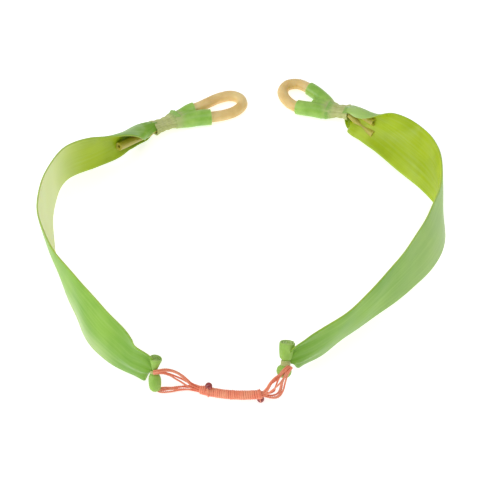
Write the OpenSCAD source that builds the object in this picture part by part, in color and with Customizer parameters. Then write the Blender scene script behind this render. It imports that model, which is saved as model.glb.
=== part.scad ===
// Elastic band set with a corded centre span.
// Two flat latex strips stand on edge in an open ring. A bundle of eight cords joins their
// rolled near ends, and a folded latex tube makes a hanging loop at each far end.
// Frame: +X right, +Y from the corded span towards the loops, +Z up, resting on Z = 0.

/* [Strips] */
// Width of each flat strip
strip_w = 21.5; // [20:0.5:23]
// Thickness of the strip latex
strip_t = 0.9; // [0.6:0.1:1.1]

/* [Rolled ends] */
// Height above the surface of each roll's waist
waist_z = 10; // [9.6:0.1:10.4]
// Radius of the left roll at its waist
left_waist_r = 1.2; // [1:0.1:1.4]
// Radius of the right roll at its waist
right_waist_r = 1.5; // [1.3:0.1:1.7]
// Thickness of the thread tied round each waist
tie_d = 0.4; // [0.3:0.05:0.5]

/* [Loops] */
// Outer diameter of the loop tube
tube_d = 5; // [4.4:0.1:5]
// Bore of the loop tube
tube_bore_d = 2; // [1.6:0.1:2.2]
// Outer diameter of the tube where the binding squeezes it
squeezed_d = 2.3; // [2:0.1:2.4]
// Wall of the strip end that is wrapped round the tube
wrap_wall = 0.6; // [0.4:0.1:0.7]
// Half width of the neck binding, across both tube legs
binding_half_w = 3.7; // [3.6:0.1:4]
// Half height of the neck binding
binding_half_h = 2.4; // [2.4:0.1:2.6]
// Wall of the neck binding
binding_wall = 0.8; // [0.6:0.1:0.8]

/* [Corded span] */
// Diameter of one cord
cord_d = 0.74; // [0.6:0.02:0.76]
// Radius of the ring on which the eight cords lie in the serving
cord_ring_r = 1.0; // [0.98:0.01:1.02]
// Outer radius of the wound serving
serving_r = 1.75; // [1.65:0.05:1.8]
// Inner radius of the wound serving
serving_bore_r = 1.4; // [1.4:0.02:1.5]
// Radius of the arc that the serving lies on
serving_arc_r = 55; // [50:1:70]
// Diameter of a nocking bead
bead_d = 2.9; // [2.6:0.1:2.9]
// Bore of a nocking bead
bead_bore_d = 0.8; // [0.7:0.05:1]
// Thread that stitches a bead to the serving
stitch_d = 0.5; // [0.4:0.05:0.6]

/* [Hidden] */
cord_count = 8;
group = cord_count / 2;
strip_steps = 3;         // rings between two strip stations
strip_pts = 7;           // points across a strip
tube_steps = 2;          // rings between two tube stations
tube_sides = 12;
cord_sides = 8;
fit = 0.06;              // clearance between a wrap and what it holds
UP = [0, 0, 1];

// Strip stations from the rolled end to the loop:
// x, y, z of the middle, lean of the top outwards, curl of the section, share of the width
LEFT_STRIP = [
    [-38.4, -79.3, 9.6, 0, 150, 0.22], [-41.8, -77.2, 10.6, -6, 50, 0.9],
    [-48, -72.8, 11.2, -16, 40, 1], [-58, -62.8, 11.2, -20, 30, 1],
    [-68.7, -45.5, 11.1, -8, 20, 1], [-77.7, -29, 11, 4, 15, 1],
    [-84.6, -6, 11, 12, 15, 1], [-84.5, 12, 11, 3, 15, 1],
    [-84.3, 14, 11, 3, 15, 1], [-78.8, 29, 11, -4, 25, 1],
    [-66.5, 36.8, 11, -2, 40, 1], [-56.5, 43.5, 10.7, -8, 110, 1],
    [-49, 52.5, 8.5, -10, 220, 0.95], [-45, 56.3, 6, 0, 300, 0.8]];
RIGHT_STRIP = [
    [19.8, -75.2, 9.6, 0, 150, 0.2], [23, -73.1, 10.3, 3, 50, 0.85],
    [30.5, -68.3, 11, 4, 30, 1], [41, -58.8, 11, 7, 20, 1],
    [53.5, -46, 11, -2, 15, 1], [67.5, -30.3, 10.8, -15, 15, 1],
    [80, -10, 10.7, -22, 15, 1], [83.7, 10, 11, -3, 15, 1],
    [83.5, 12, 11, -1, 15, 1], [80, 26, 10.4, 22, 20, 1],
    [71, 41, 8.6, 48, 35, 1], [63, 51.5, 8.6, 48, 80, 1],
    [54.5, 61, 8, 30, 210, 0.95], [49.7, 66.2, 6, 10, 300, 0.8]];
// The strip flexes in the gap between these two stations
FLEX = [7, 8];

// Loop tube stations from one end of the neck round the eye to the other: x, y, z, radius
SQ = squeezed_d / 2;
TR = tube_d / 2;
// Height of the tube's axis where the wrap lies under it
WZ = TR + wrap_wall + fit;
LEFT_TUBE = [
    [-40.8, 57.8, 4.6, SQ], [-35.5, 61.6, 3.8, SQ], [-29.8, 66.4, 3.1, 1.5],
    [-26.4, 68.8, 3, 2.2], [-21.5, 70.8, WZ, TR], [-16.8, 74, WZ, TR],
    [-11.5, 77.7, 2.6, TR], [-6.2, 79, TR, TR], [-2.4, 76.9, TR, TR],
    [-1.4, 73, TR, TR], [-4.4, 69, TR, TR], [-9.8, 66.2, 2.6, TR],
    [-15.8, 64.4, WZ, TR], [-21, 63.9, WZ, TR], [-25.8, 62.7, 3, 2.2],
    [-29.2, 61.5, 3.1, 1.5], [-34.1, 59.2, 3.8, SQ], [-39.3, 55.5, 4.6, SQ]];
RIGHT_TUBE = [
    [46, 67.8, 4.5, SQ], [42, 69.3, 3.7, SQ], [39.6, 71.6, 3, 1.6],
    [37.6, 74.4, 3, 2.2], [34.2, 78.8, WZ, TR], [29.6, 83.3, WZ, TR],
    [24.3, 86.9, 2.6, TR], [19.8, 86.2, TR, TR], [17.4, 82.2, TR, TR],
    [18.8, 76.4, TR, TR], [22.8, 72, 2.6, TR], [27.2, 70.1, WZ, TR],
    [31.4, 69.2, WZ, TR], [35.3, 68.1, 3, 2.2], [38.3, 67.1, 3.1, 1.5],
    [41.3, 66.4, 3.7, SQ], [45.3, 65, 4.5, SQ]];
// Rings of each tube leg between which the strip end is wrapped round it: first, far leg, near leg
LEFT_WRAPPED = [4, 9, 10];
RIGHT_WRAPPED = [4, 10, 10];

// Tube tails inside the mouth of the strip: x, y, z, radius
LEFT_TAILS = [
    [[-42.6, 56.1, 5.1, SQ], [-44.7, 52.8, 7.8, 1.4], [-47.5, 48.3, 10.2, 1.8], [-50, 43, 12, 1.8]],
    [[-41.4, 53.8, 5.1, SQ], [-43.6, 50.5, 6.2, 1.4], [-48.2, 44.9, 7, 1.8], [-53.6, 40, 7.6, 1.8]]];
RIGHT_TAILS = [
    [[47.8, 65.8, 5.7, SQ], [50.4, 61.9, 8.9, 1.4], [53.6, 57, 11.8, 1.8], [57.6, 52, 13.2, 1.8]],
    [[46.9, 63.5, 5.6, SQ], [49.2, 59.1, 7.9, 1.4], [53.2, 53.4, 9.2, 1.8], [57.8, 47.6, 9, 1.8]]];

// Neck bindings: x, y, z of the middle, half width, half height
NW = binding_half_w;
NH = binding_half_h;
LEFT_NECK = [[-39.9, 56.8, 4.6, NW, NH], [-34.8, 60.4, 3.8, NW, NH], [-33, 61.8, 3.5, NW + 0.6, NH + 0.3]];
RIGHT_NECK = [[45.4, 66.4, 4.5, NW, NH], [41.7, 67.8, 3.7, NW, NH], [40.5, 68.3, 3.5, NW + 0.6, NH + 0.3]];

// Waists of the two rolls, and how far each roll's top leans away from the cords and to the right
LEFT_WAIST = [-35.4, -80.4, waist_z];
RIGHT_WAIST = [15.1, -76.3, waist_z];
LEFT_TILT = [27, 7];
RIGHT_TILT = [36, 5];

// Ends of the serving's axis
SERVING_LEFT = [-18, -83.3, 2];
SERVING_RIGHT = [6.3, -87.4, 4.9];

// Cord routes from the serving to the roll's waist: x, y, z, spread, share of the way
LEFT_UPPER = [
    [-18.7, -83, 1.95, 1, 0], [-22, -81.9, 2.8, 1.1, 0], [-25.5, -80.9, 5, 1.5, 0.1],
    [-29.4, -80.8, 8, 1.4, 0.5], [-32.2, -82, 9.9, 1.1, 1], [-34.2, -83, 10.4, 1, 1],
    [-35.8, -83, 10.3, 1, 1]];
LEFT_LOWER = [
    [-18.7, -83, 1.95, 1, 0], [-22.3, -82.2, 1.9, 1.1, 0], [-26.5, -82.2, 1.8, 1.3, 0.3],
    [-30.4, -82.4, 1.4, 1.2, 0.7], [-33.6, -81.6, 1.2, 1, 1], [-36.2, -79.4, 2.6, 1, 1],
    [-36.4, -78, 6, 1, 1], [-35.6, -77.7, 9.3, 1, 1]];
RIGHT_UPPER = [
    [7.1, -87.35, 5, 1, 0], [9.4, -85.8, 6.1, 1.1, 0], [11.4, -83.6, 8, 1.3, 0.3],
    [12.7, -81.7, 9.8, 1.1, 0.8], [12.8, -79.8, 11, 1, 1], [12.3, -77.4, 11, 1, 1]];
RIGHT_LOWER = [
    [7.1, -87.35, 5, 1, 0], [9.8, -87, 4.1, 1.1, 0], [12.6, -85.8, 4.4, 1.4, 0.3],
    [14.9, -84, 6.4, 1.3, 0.6], [16.4, -82, 9.2, 1.1, 1], [17.3, -80.2, 10.6, 1, 1],
    [17.2, -78.6, 10.9, 1, 1]];
// Where a group of four cords sits across and above its route, in the serving and at the roll
RING_ANGLES = [157.5, 112.5, 67.5, 22.5];
PACK = [[-0.4, -0.4], [-0.4, 0.4], [0.4, 0.4], [0.4, -0.4]];

// Half profiles of the rolls about the waist: radius, height
LEFT_ROLL = [
    [0, -8.8], [1.2, -8.6], [2.2, -7.6], [2.8, -5.9], [2.85, -4.4], [2.5, -2.8], [1.8, -1.7],
    [left_waist_r, -1.1], [left_waist_r, 1.1], [1.6, 2], [2.1, 3.8], [2.5, 5.4], [2.3, 5.8], [0, 5.8]];
RIGHT_ROLL = [
    [0, -6.1], [1.8, -5.9], [3, -4.8], [3.4, -3.4], [3, -2.1], [2.2, -1.4],
    [right_waist_r, -1], [right_waist_r, 1], [2.5, 1.6], [3.1, 3.6], [3.5, 6.6],
    [3.4, 8.1], [0, 8.2]];

CORD_NODES = [for (side = ["left", "right"], n = [1:cord_count]) str(side, "_cord_", n)];

// ---- curves ----
function unit(v) = v / norm(v);
function curve_at(a, b, c, d, t) =
    0.5 * (2 * b + (c - a) * t + (2 * a - 5 * b + 4 * c - d) * t * t
        + (3 * b - a - 3 * c + d) * t * t * t);
function before(p, i) = i > 0 ? p[i - 1] : 2 * p[0] - p[1];
function after(p, i) = i < len(p) ? p[i] : 2 * p[len(p) - 1] - p[len(p) - 2];
function smooth(p, steps) = concat(
    [for (i = [0:len(p) - 2], k = [0:steps - 1])
        curve_at(before(p, i), p[i], p[i + 1], after(p, i + 2), k / steps)],
    [p[len(p) - 1]]);
function place(row) = [row.x, row.y, row.z];
function tangent(p, i) = unit(place(after(p, i + 1)) - place(before(p, i)));
function slice(p, a, b) = [for (i = [a:b]) p[i]];

// ---- solids swept through rings of points ----
module skin(rings, closed = false) {
    n = len(rings[0]);
    count = len(rings);
    points = [for (ring = rings, q = ring) q];
    last = closed ? count - 1 : count - 2;
    sides = [for (i = [0:last], j = [0:n - 1])
        let (a = i * n + j, b = i * n + (j + 1) % n,
             c = ((i + 1) % count) * n + (j + 1) % n, d = ((i + 1) % count) * n + j)
        each [[a, b, c], [a, c, d]]];
    caps = closed ? [] : [
        [for (j = [n - 1:-1:0]) j],
        [for (j = [0:n - 1]) (count - 1) * n + j]];
    polyhedron(points, concat(sides, caps), convexity = 8);
}

// One ring of an oval tube; across and up are half sizes
function oval_ring(c, t, across, up, sides) =
    let (a = unit(cross(t, UP)), u = cross(a, t))
    [for (k = [0:sides - 1]) c + a * across * cos(360 * k / sides) - u * up * sin(360 * k / sides)];

// Rings of a tube along rows of x, y, z, radius; each radius is scaled and grown
function tube_rings(rows, scaled = 1, grow = 0, sides = tube_sides, steps = tube_steps) =
    let (p = smooth(rows, steps))
    [for (i = [0:len(p) - 1]) let (r = p[i][3] * scaled + grow)
        oval_ring(place(p[i]), tangent(p, i), r, r, sides)];

// Hollow solid between outer rings and the same number of inner ones
module pipe(outer, inner) {
    skin(concat(outer, [for (i = [len(inner) - 1:-1:0]) inner[i]]), closed = true);
}
module hollow_tube(rows) {
    pipe(tube_rings(rows), tube_rings(rows, tube_bore_d / tube_d));
}

// ---- strips ----
// side is 1 where outwards lies to the left of the travel from roll to loop, -1 to the right
function strip_ring(p, i, side) =
    let (row = p[i], t = tangent(p, i),
         out = unit(cross(UP, t)) * side, rise = unit(UP - t * (t * UP)),
         w = cos(row[3]) * rise + sin(row[3]) * out,
         m = cos(row[3]) * out - sin(row[3]) * rise,
         arc = row[4], r = strip_w * row[5] / (arc * PI / 180), half = strip_t / 2,
         outer = [for (k = [0:strip_pts - 1]) let (s = arc * (k / (strip_pts - 1) - 0.5))
             place(row) + w * (r + half) * sin(s) + m * ((r + half) * cos(s) - r)],
         inner = [for (k = [strip_pts - 1:-1:0]) let (s = arc * (k / (strip_pts - 1) - 0.5))
             place(row) + w * (r - half) * sin(s) + m * ((r - half) * cos(s) - r)])
    side > 0 ? concat(outer, inner) : [for (q = [2 * strip_pts - 1:-1:0]) concat(outer, inner)[q]];

// The strip from one station to another, out of the whole strip's smooth curve
module strip(rows, side, first, last) {
    p = smooth(rows, strip_steps);
    skin([for (i = [first * strip_steps:last * strip_steps]) strip_ring(p, i, side)]);
}
module near_strip(rows, side) { strip(rows, side, 0, FLEX[0]); }
module far_strip(rows, side) { strip(rows, side, FLEX[1], len(rows) - 1); }

// ---- rolled ends ----
module at_waist(waist, tilt) {
    translate(waist) rotate([-tilt[0], tilt[1], 0]) children();
}
module rolled_end(profile, waist, tilt) {
    at_waist(waist, tilt) rotate_extrude($fn = 48) polygon(profile);
}
// Two turns of thread in the groove of the waist
module roll_tie(waist, tilt, r) {
    at_waist(waist, tilt)
        for (turn = [-1, 1])
            translate([0, 0, turn * tie_d * 0.52])
                rotate_extrude($fn = 48) translate([r + tie_d / 2 + 0.02, 0]) circle(d = tie_d, $fn = 20);
}

// ---- loop ends ----
module strip_end_wrap(tube_rows, wrapped) {
    outer = tube_rings(tube_rows, grow = wrap_wall + fit);
    inner = tube_rings(tube_rows, grow = fit);
    n = len(outer) - 1;
    pipe(slice(outer, wrapped[0], wrapped[1]), slice(inner, wrapped[0], wrapped[1]));
    pipe(slice(outer, n - wrapped[2], n - wrapped[0]), slice(inner, n - wrapped[2], n - wrapped[0]));
}
function neck_rings(rows, thinner) =
    let (p = smooth(rows, 3))
    [for (i = [0:len(p) - 1])
        oval_ring(place(p[i]), tangent(p, i), p[i][3] - thinner, p[i][4] - thinner, 16)];
module neck_binding(rows) {
    pipe(neck_rings(rows, 0), neck_rings(rows, binding_wall));
}

// ---- corded span ----
CHORD = SERVING_RIGHT - SERVING_LEFT;
CHORD_HALF = norm(CHORD) / 2;
SERVING_HALF_ANGLE = asin(CHORD_HALF / serving_arc_r);
SERVING_PITCH = asin(CHORD.z / norm(CHORD));
SERVING_YAW = atan2(CHORD.y, CHORD.x);
ARC_CENTRE = serving_arc_r * cos(SERVING_HALF_ANGLE);

// Sweeps a flat shape along the serving's arc; the shape's own origin is the axis
module along_serving() {
    translate((SERVING_LEFT + SERVING_RIGHT) / 2)
        rotate([0, -SERVING_PITCH, SERVING_YAW])
            translate([0, ARC_CENTRE, 0])
                rotate([0, 0, -90 - SERVING_HALF_ANGLE])
                    rotate_extrude(angle = 2 * SERVING_HALF_ANGLE, $fn = 180)
                        translate([serving_arc_r, 0]) children();
}
module serving() {
    color("coral") along_serving() difference() {
        circle(r = serving_r, $fn = 40);
        circle(r = serving_bore_r, $fn = 40);
    }
}
module core_cords() {
    color("sandybrown")
        for (k = [0:cord_count - 1])
            along_serving() rotate(360 * (k + 0.5) / cord_count)
                translate([cord_ring_r, 0]) circle(d = cord_d, $fn = 20);
}
// Places children at a share of the serving's arc, X along the axis and Z up
module on_serving(share) {
    turn = (share - 0.5) * 2 * SERVING_HALF_ANGLE;
    translate((SERVING_LEFT + SERVING_RIGHT) / 2)
        rotate([0, -SERVING_PITCH, SERVING_YAW])
            translate([0, ARC_CENTRE, 0]) rotate([0, 0, turn])
                translate([0, -serving_arc_r, 0]) children();
}
BEAD_REACH = serving_r + bead_d / 2 + 0.02;
module bead(share, tilt) {
    color("firebrick") on_serving(share) rotate([tilt, 0, 0]) translate([0, 0, BEAD_REACH])
        difference() {
            sphere(d = bead_d, $fn = 48);
            rotate([90, 0, 0]) cylinder(d = bead_bore_d, h = 2 * bead_d, center = true, $fn = 24);
        }
}
// Thread through the bead's bore and round the serving, in the plane across the serving
STITCH = let (near = serving_r + stitch_d / 2 + 0.05) [
    [0, 0, BEAD_REACH], [0, 1.1, BEAD_REACH], [0, 1.9, BEAD_REACH - 0.9], [0, near + 0.1, 0.6],
    [0, near * 0.8, -near * 0.68], [0, 0, -near], [0, -near * 0.8, -near * 0.68],
    [0, -near - 0.1, 0.6], [0, -1.9, BEAD_REACH - 0.9], [0, -1.1, BEAD_REACH]];
function loop_at(p, i, k, steps) =
    let (n = len(p))
    curve_at(p[(i + n - 1) % n], p[i], p[(i + 1) % n], p[(i + 2) % n], k / steps);
module bead_stitch(share, tilt) {
    p = [for (i = [0:len(STITCH) - 1], k = [0, 1]) loop_at(STITCH, i, k, 2)];
    n = len(p);
    color("tomato") on_serving(share) rotate([tilt, 0, 0])
        skin([for (i = [0:n - 1])
            let (t = unit(p[(i + 1) % n] - p[(i + n - 1) % n]), a = [1, 0, 0], u = cross(a, t))
            [for (k = [0:5]) p[i] + (a * cos(60 * k) - u * sin(60 * k)) * stitch_d / 2]],
            closed = true);
}

// ---- free cords ----
// Offset of cord k of a group from its route; flip is -1 for the lower group
function cord_offset(k, way, spread, flip) =
    let (ring = [cos(RING_ANGLES[k]), sin(RING_ANGLES[k]) * flip],
         packed = [PACK[k].x, PACK[k].y * flip])
    ((1 - way) * ring + way * packed) * spread;
function cord_rows(route, k, flip) = [
    for (i = [0:len(route) - 1])
        let (t = tangent(route, i), a = unit(cross(t, UP)), u = cross(a, t), row = route[i],
             off = cord_offset(k, row[4], row[3], flip))
        [each (place(row) + a * off.x + u * off.y), cord_d / 2]];
module cord(upper, lower, n) {
    k = (n - 1) % group;
    color("sandybrown")
        skin(tube_rings(n <= group ? cord_rows(upper, k, 1) : cord_rows(lower, k, -1),
            sides = cord_sides, steps = 3));
}

// ---- named sub-parts ----
module left_strip_near() { color("yellowgreen") near_strip(LEFT_STRIP, 1); }
module left_strip_far() { color("yellowgreen") far_strip(LEFT_STRIP, 1); }
module left_rolled_end() { color("olivedrab") rolled_end(LEFT_ROLL, LEFT_WAIST, LEFT_TILT); }
module left_roll_tie() { color("khaki") roll_tie(LEFT_WAIST, LEFT_TILT, left_waist_r); }
module left_strip_end_wrap() { color("limegreen") strip_end_wrap(LEFT_TUBE, LEFT_WRAPPED); }
module left_neck_binding() { color("darkseagreen") neck_binding(LEFT_NECK); }
module left_loop_tube() { color("burlywood") hollow_tube(LEFT_TUBE); }
module left_tube_tails() { color("burlywood") for (tail = LEFT_TAILS) hollow_tube(tail); }
module right_strip_near() { color("yellowgreen") near_strip(RIGHT_STRIP, -1); }
module right_strip_far() { color("yellowgreen") far_strip(RIGHT_STRIP, -1); }
module right_rolled_end() { color("olivedrab") rolled_end(RIGHT_ROLL, RIGHT_WAIST, RIGHT_TILT); }
module right_roll_tie() { color("khaki") roll_tie(RIGHT_WAIST, RIGHT_TILT, right_waist_r); }
module right_strip_end_wrap() { color("limegreen") strip_end_wrap(RIGHT_TUBE, RIGHT_WRAPPED); }
module right_neck_binding() { color("darkseagreen") neck_binding(RIGHT_NECK); }
module right_loop_tube() { color("burlywood") hollow_tube(RIGHT_TUBE); }
module right_tube_tails() { color("burlywood") for (tail = RIGHT_TAILS) hollow_tube(tail); }
module left_bead() { bead(0.16, -8); }
module right_bead() { bead(0.95, 180); }
module left_bead_stitch() { bead_stitch(0.16, -8); }
module right_bead_stitch() { bead_stitch(0.95, 180); }

left_strip_near();
left_strip_far();
left_rolled_end();
left_roll_tie();
left_strip_end_wrap();
left_neck_binding();
left_loop_tube();
left_tube_tails();
right_strip_near();
right_strip_far();
right_rolled_end();
right_roll_tie();
right_strip_end_wrap();
right_neck_binding();
right_loop_tube();
right_tube_tails();
serving();
core_cords();
left_bead();
right_bead();
left_bead_stitch();
right_bead_stitch();
for (n = [1:cord_count]) {
    cord(LEFT_UPPER, LEFT_LOWER, n);
    cord(RIGHT_UPPER, RIGHT_LOWER, n);
}
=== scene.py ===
"""The looks of an elastic band set: two flat latex strips, a corded span and two latex tube loops."""

import math

import bmesh
import bpy
import numpy as np
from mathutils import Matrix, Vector


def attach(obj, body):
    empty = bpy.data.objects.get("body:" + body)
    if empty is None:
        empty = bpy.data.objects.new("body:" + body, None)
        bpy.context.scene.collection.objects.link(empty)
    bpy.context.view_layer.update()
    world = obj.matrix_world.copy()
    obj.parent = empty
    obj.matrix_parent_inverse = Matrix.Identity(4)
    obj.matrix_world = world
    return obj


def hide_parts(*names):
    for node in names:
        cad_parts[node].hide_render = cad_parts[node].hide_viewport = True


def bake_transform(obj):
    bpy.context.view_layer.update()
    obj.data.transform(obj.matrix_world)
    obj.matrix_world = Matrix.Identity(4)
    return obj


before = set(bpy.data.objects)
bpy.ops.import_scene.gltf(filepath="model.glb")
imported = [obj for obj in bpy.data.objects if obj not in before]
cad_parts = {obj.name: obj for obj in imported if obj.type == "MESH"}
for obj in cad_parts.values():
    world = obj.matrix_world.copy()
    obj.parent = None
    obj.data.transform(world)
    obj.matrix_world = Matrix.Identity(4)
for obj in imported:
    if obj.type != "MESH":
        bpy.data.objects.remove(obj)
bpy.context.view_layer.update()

UP = np.array([0.0, 0.0, 1.0])
SIDES = ("left", "right")
OUTWARD = {"left": 1, "right": -1}
rng = np.random.default_rng(11)

# ---- driving sizes, in metres ----
STRIP_WIDTH = 0.0215
STRIP_THICKNESS = 0.0007
TUBE_BORE_SHARE = 0.4
CORD_DIAMETER = 0.00074
CORD_RING_RADIUS = 0.001
CORDS_IN_GROUP = 4
SERVING_LEFT = np.array([-0.018, -0.0833, 0.002])
SERVING_RIGHT = np.array([0.0063, -0.0874, 0.0049])
SERVING_ARC_RADIUS = 0.055
SERVING_TURNS = 29
SERVING_THREAD_RADIUS = 0.00151
BEAD_DIAMETER = 0.0029
BEAD_BORE = 0.0008
BEAD_REACH = 0.00322
STITCH_DIAMETER = 0.0004
TIE_DIAMETER = 0.0004
# Across a strip's section, the upper half curls more than the lower by this share, near the neck
HOOKS = {"left": 0.4, "right": 1.9}
STRIP_POINTS = 33
BINDING_WALL = 0.0007
SMOOTH_LIMIT = math.radians(50)
CAMERA_PLACE = (-0.0025, -0.3704, 0.4339)
CAMERA_TILT = math.radians(40)
FLOOR_HEIGHT = -0.0004

# ---- routes, in metres ----
# Loop tubes, necks and waists are as in part.scad; the rest lies closer to the photograph.
# Strip stations from the rolled end to the loop: x, y, z, lean and curl in degrees, share of width
STRIPS = {
    "left": (
        (-0.0371, -0.0801, 0.0106, 0, 80, 0.5), (-0.0388, -0.0792, 0.0109, 2, 22, 0.96),
        (-0.0442, -0.0764, 0.0107, -4, 36, 1), (-0.051, -0.0705, 0.0112, -16, 38, 1),
        (-0.058, -0.0628, 0.0112, -20, 30, 1),
        (-0.0687, -0.0455, 0.0111, -8, 20, 1), (-0.0777, -0.029, 0.011, 4, 15, 1),
        (-0.0846, -0.006, 0.011, 12, 15, 1), (-0.0844, 0.013, 0.011, 3, 15, 1),
        (-0.0788, 0.029, 0.011, -4, 25, 1), (-0.0665, 0.0368, 0.011, -6, 45, 1),
        (-0.0575, 0.0422, 0.0122, -16, 120, 1), (-0.052, 0.0488, 0.0108, -34, 215, 1),
        (-0.0478, 0.0543, 0.0082, -46, 300, 1), (-0.0437, 0.0572, 0.0067, -30, 320, 0.8)),
    "right": (
        (0.0174, -0.0758, 0.0107, 0, 80, 0.42), (0.0198, -0.0749, 0.0109, 0, 28, 0.8),
        (0.0237, -0.0729, 0.0108, 3, 36, 0.94), (0.0305, -0.0683, 0.011, 4, 30, 1),
        (0.041, -0.0588, 0.011, 7, 20, 1), (0.0535, -0.046, 0.011, -2, 15, 1),
        (0.0675, -0.0303, 0.0108, -15, 15, 1), (0.08, -0.01, 0.0107, -22, 15, 1),
        (0.0836, 0.011, 0.011, -2, 15, 1), (0.08, 0.026, 0.0104, 22, 20, 1),
        (0.071, 0.041, 0.0086, 48, 35, 1), (0.063, 0.0497, 0.0095, 30, 88, 1),
        (0.0543, 0.0576, 0.0099, 16, 205, 1), (0.0515, 0.0618, 0.0082, 14, 262, 0.97),
        (0.0493, 0.066, 0.0062, 0, 310, 0.85))}
# Where each strip runs on, into the waist of its roll and into its neck binding
STRIP_STARTS = {
    "left": (-0.0356, -0.0804, 0.0103, 0, 150, 0.14),
    "right": (0.0154, -0.0763, 0.0104, 0, 150, 0.14)}
STRIP_ENDS = {
    "left": (-0.0416, 0.0582, 0.0055, -20, 320, 0.6),
    "right": (0.0471, 0.0679, 0.0054, -20, 320, 0.6)}
# A point inside each neck binding; the tube's tails lie past it
LOOP_POINTS = {"left": (-0.0412, 0.0564, 0.0047), "right": (0.0463, 0.0661, 0.0047)}
# Loop tube stations from one leg's end round the eye to the other's: x, y, z, radius
TUBES = {
    "left": (
        (-0.0408, 0.0578, 0.0046, 0.00115), (-0.0355, 0.0616, 0.0038, 0.00115),
        (-0.0298, 0.0664, 0.0031, 0.0015), (-0.0264, 0.0688, 0.003, 0.0022),
        (-0.0215, 0.0708, 0.00316, 0.0025), (-0.0168, 0.074, 0.00316, 0.0025),
        (-0.0115, 0.0777, 0.0026, 0.0025), (-0.0062, 0.079, 0.0025, 0.0025),
        (-0.0024, 0.0769, 0.0025, 0.0025), (-0.0014, 0.073, 0.0025, 0.0025),
        (-0.0044, 0.069, 0.0025, 0.0025), (-0.0098, 0.0662, 0.0026, 0.0025),
        (-0.0158, 0.0644, 0.00316, 0.0025), (-0.021, 0.0639, 0.00316, 0.0025),
        (-0.0258, 0.0627, 0.003, 0.0022), (-0.0292, 0.0615, 0.0031, 0.0015),
        (-0.0341, 0.0592, 0.0038, 0.00115), (-0.0393, 0.0555, 0.0046, 0.00115)),
    "right": (
        (0.046, 0.0678, 0.0045, 0.00115), (0.042, 0.0693, 0.0037, 0.00115),
        (0.0396, 0.0716, 0.003, 0.0016), (0.0376, 0.0744, 0.003, 0.0022),
        (0.0342, 0.0788, 0.00316, 0.0025), (0.0296, 0.0833, 0.00316, 0.0025),
        (0.0243, 0.0869, 0.0026, 0.0025), (0.0198, 0.0862, 0.0025, 0.0025),
        (0.0174, 0.0822, 0.0025, 0.0025), (0.0188, 0.0764, 0.0025, 0.0025),
        (0.0228, 0.072, 0.0026, 0.0025), (0.0272, 0.0701, 0.00316, 0.0025),
        (0.0314, 0.0692, 0.00316, 0.0025), (0.0353, 0.0681, 0.003, 0.0022),
        (0.0383, 0.0671, 0.0031, 0.0015), (0.0413, 0.0664, 0.0037, 0.00115),
        (0.0453, 0.065, 0.0045, 0.00115))}
# The two tube tails inside the mouth of each strip, from the neck outwards
TAILS = {
    "left": (
        ((-0.0426, 0.0561, 0.0051, 0.00115), (-0.0448, 0.0541, 0.0063, 0.0014),
         (-0.0476, 0.0512, 0.0083, 0.0016), (-0.0508, 0.0474, 0.0102, 0.0018)),
        ((-0.0414, 0.0538, 0.0051, 0.00115), (-0.0438, 0.0524, 0.0042, 0.0014),
         (-0.0468, 0.0508, 0.0042, 0.0016), (-0.0512, 0.0463, 0.006, 0.0018),
         (-0.0562, 0.041, 0.008, 0.0019))),
    "right": (
        ((0.0478, 0.0658, 0.0057, 0.00115), (0.0507, 0.0624, 0.0076, 0.0014),
         (0.0541, 0.0581, 0.0094, 0.0018), (0.0576, 0.0537, 0.0104, 0.0018)),
        ((0.0469, 0.0635, 0.0053, 0.00115), (0.0498, 0.0605, 0.005, 0.0014),
         (0.0536, 0.0562, 0.005, 0.0018), (0.0576, 0.0512, 0.0052, 0.0019)))}
# Neck bindings: x, y, z, half width, half height
NECKS = {
    "left": (
        (-0.0399, 0.0568, 0.0046, 0.0037, 0.0024), (-0.0348, 0.0604, 0.0038, 0.0037, 0.0024),
        (-0.033, 0.0618, 0.0035, 0.0043, 0.0027)),
    "right": (
        (0.0454, 0.0664, 0.0045, 0.0037, 0.0024), (0.0417, 0.0678, 0.0037, 0.0037, 0.0024),
        (0.0405, 0.0683, 0.0035, 0.0043, 0.0027))}
# Waists of the rolls, and how far each roll's top leans back and to the right, in degrees
WAISTS = {"left": np.array([-0.0354, -0.0804, 0.01]), "right": np.array([0.0151, -0.0763, 0.01])}
TILTS = {"left": (27, 7), "right": (39, 8)}
# Half profiles of the rolls about the waist: radius, height
ROLLS = {
    "left": (
        (0.0012, -0.0086), (0.0023, -0.0077), (0.0028, -0.006), (0.0029, -0.0043),
        (0.0027, -0.0026), (0.0021, -0.0014), (0.0012, -0.0007), (0.0012, 0.0007),
        (0.0016, 0.0018), (0.0022, 0.0035), (0.0028, 0.0053), (0.0028, 0.0058)),
    "right": (
        (0.0018, -0.0059), (0.003, -0.0048), (0.0034, -0.0034), (0.003, -0.0021),
        (0.0022, -0.0014), (0.0015, -0.0008), (0.0015, 0.0008), (0.0025, 0.0016),
        (0.0031, 0.0036), (0.0035, 0.0066), (0.0035, 0.0081))}
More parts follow.
